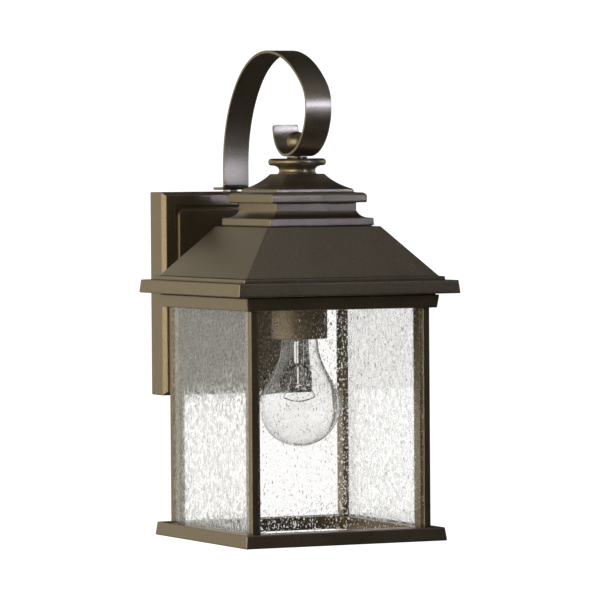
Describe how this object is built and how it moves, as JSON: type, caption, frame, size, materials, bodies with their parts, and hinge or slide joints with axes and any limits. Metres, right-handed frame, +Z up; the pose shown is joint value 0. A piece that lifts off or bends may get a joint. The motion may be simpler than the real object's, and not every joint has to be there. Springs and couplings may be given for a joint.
{
  "type": "outdoor wall lantern",
  "caption": "Square glass outdoor wall lantern with a stepped roof, hung from a scroll strap and a hollow arm on a rectangular backplate, with a bulb that comes out through the open bottom.",
  "frame": {"origin": "centre of the backplate in the plane of the wall, where the mounting bracket's flat back lies", "axes": "+Y goes into the wall and the lantern hangs out along -Y, +Z is up, +X is to the right seen from the front of the lantern"},
  "size_m": [0.1786, 0.217, 0.3609],
  "materials": {
    "bronze_paint": "textured bronze powder coat",
    "pane_glass": "clear seeded",
    "bulb_glass": "clear",
    "zinc_steel": "zinc plated",
    "rubber_washer": "matt",
    "earth_green": "green zinc",
    "bare_copper": "bare copper",
    "porcelain": "glazed",
    "brass": "satin",
    "bulb_cap_metal": "satin",
    "bulb_insulator": "black glass",
    "tungsten": "matt",
    "lead_black": "matt",
    "lead_white": "matt",
    "connector_plastic": "matt"
  },
  "bodies": {
    "lantern": {"backplate": "bronze_paint", "arm": "bronze_paint", "scroll_strap": "bronze_paint", "foot_screw": "bronze_paint", "domed_nuts": "bronze_paint", "ball_nut": "bronze_paint", "curl_washer": "bronze_paint", "finial_collar": "bronze_paint", "upper_cap": "bronze_paint", "main_roof": "bronze_paint", "eave_tray": "bronze_paint", "frieze": "bronze_paint", "base_frame": "bronze_paint", "post_front_left": "bronze_paint", "post_front_right": "bronze_paint", "post_back_left": "bronze_paint", "post_back_right": "bronze_paint", "socket_cup": "bronze_paint", "pane_front": "pane_glass", "pane_back": "pane_glass", "pane_left": "pane_glass", "pane_right": "pane_glass", "cross_bracket": "zinc_steel", "mounting_studs": "zinc_steel", "arm_nipple": "zinc_steel", "arm_nuts": "zinc_steel", "foot_spacer": "zinc_steel", "foot_nut": "zinc_steel", "centre_rod": "zinc_steel", "rod_nuts": "zinc_steel", "upper_cage_screws": "zinc_steel", "lower_cage_screws": "zinc_steel", "socket_bridge": "zinc_steel", "bridge_screws": "zinc_steel", "socket_stirrup": "zinc_steel", "socket_screws": "zinc_steel", "stud_washers": "rubber_washer", "earth_screws": "earth_green", "earth_wire": "bare_copper", "socket_body": "porcelain", "socket_shell": "brass", "socket_contact": "brass", "lead_black": "lead_black", "lead_white": "lead_white", "wire_connectors": "connector_plastic"},
    "bulb": {"bulb_glass": "bulb_glass", "bulb_stem": "bulb_glass", "bulb_shell": "bulb_cap_metal", "bulb_contact": "bulb_cap_metal", "bulb_insulator": "bulb_insulator", "bulb_leads": "brass", "bulb_filament": "tungsten"}
  },
  "joints": [
    {"name": "bulb_out", "type": "slide", "parent": "lantern", "child": "bulb", "axis": [0, 0, -1], "range_m": [0, 0.19]}
  ]
}
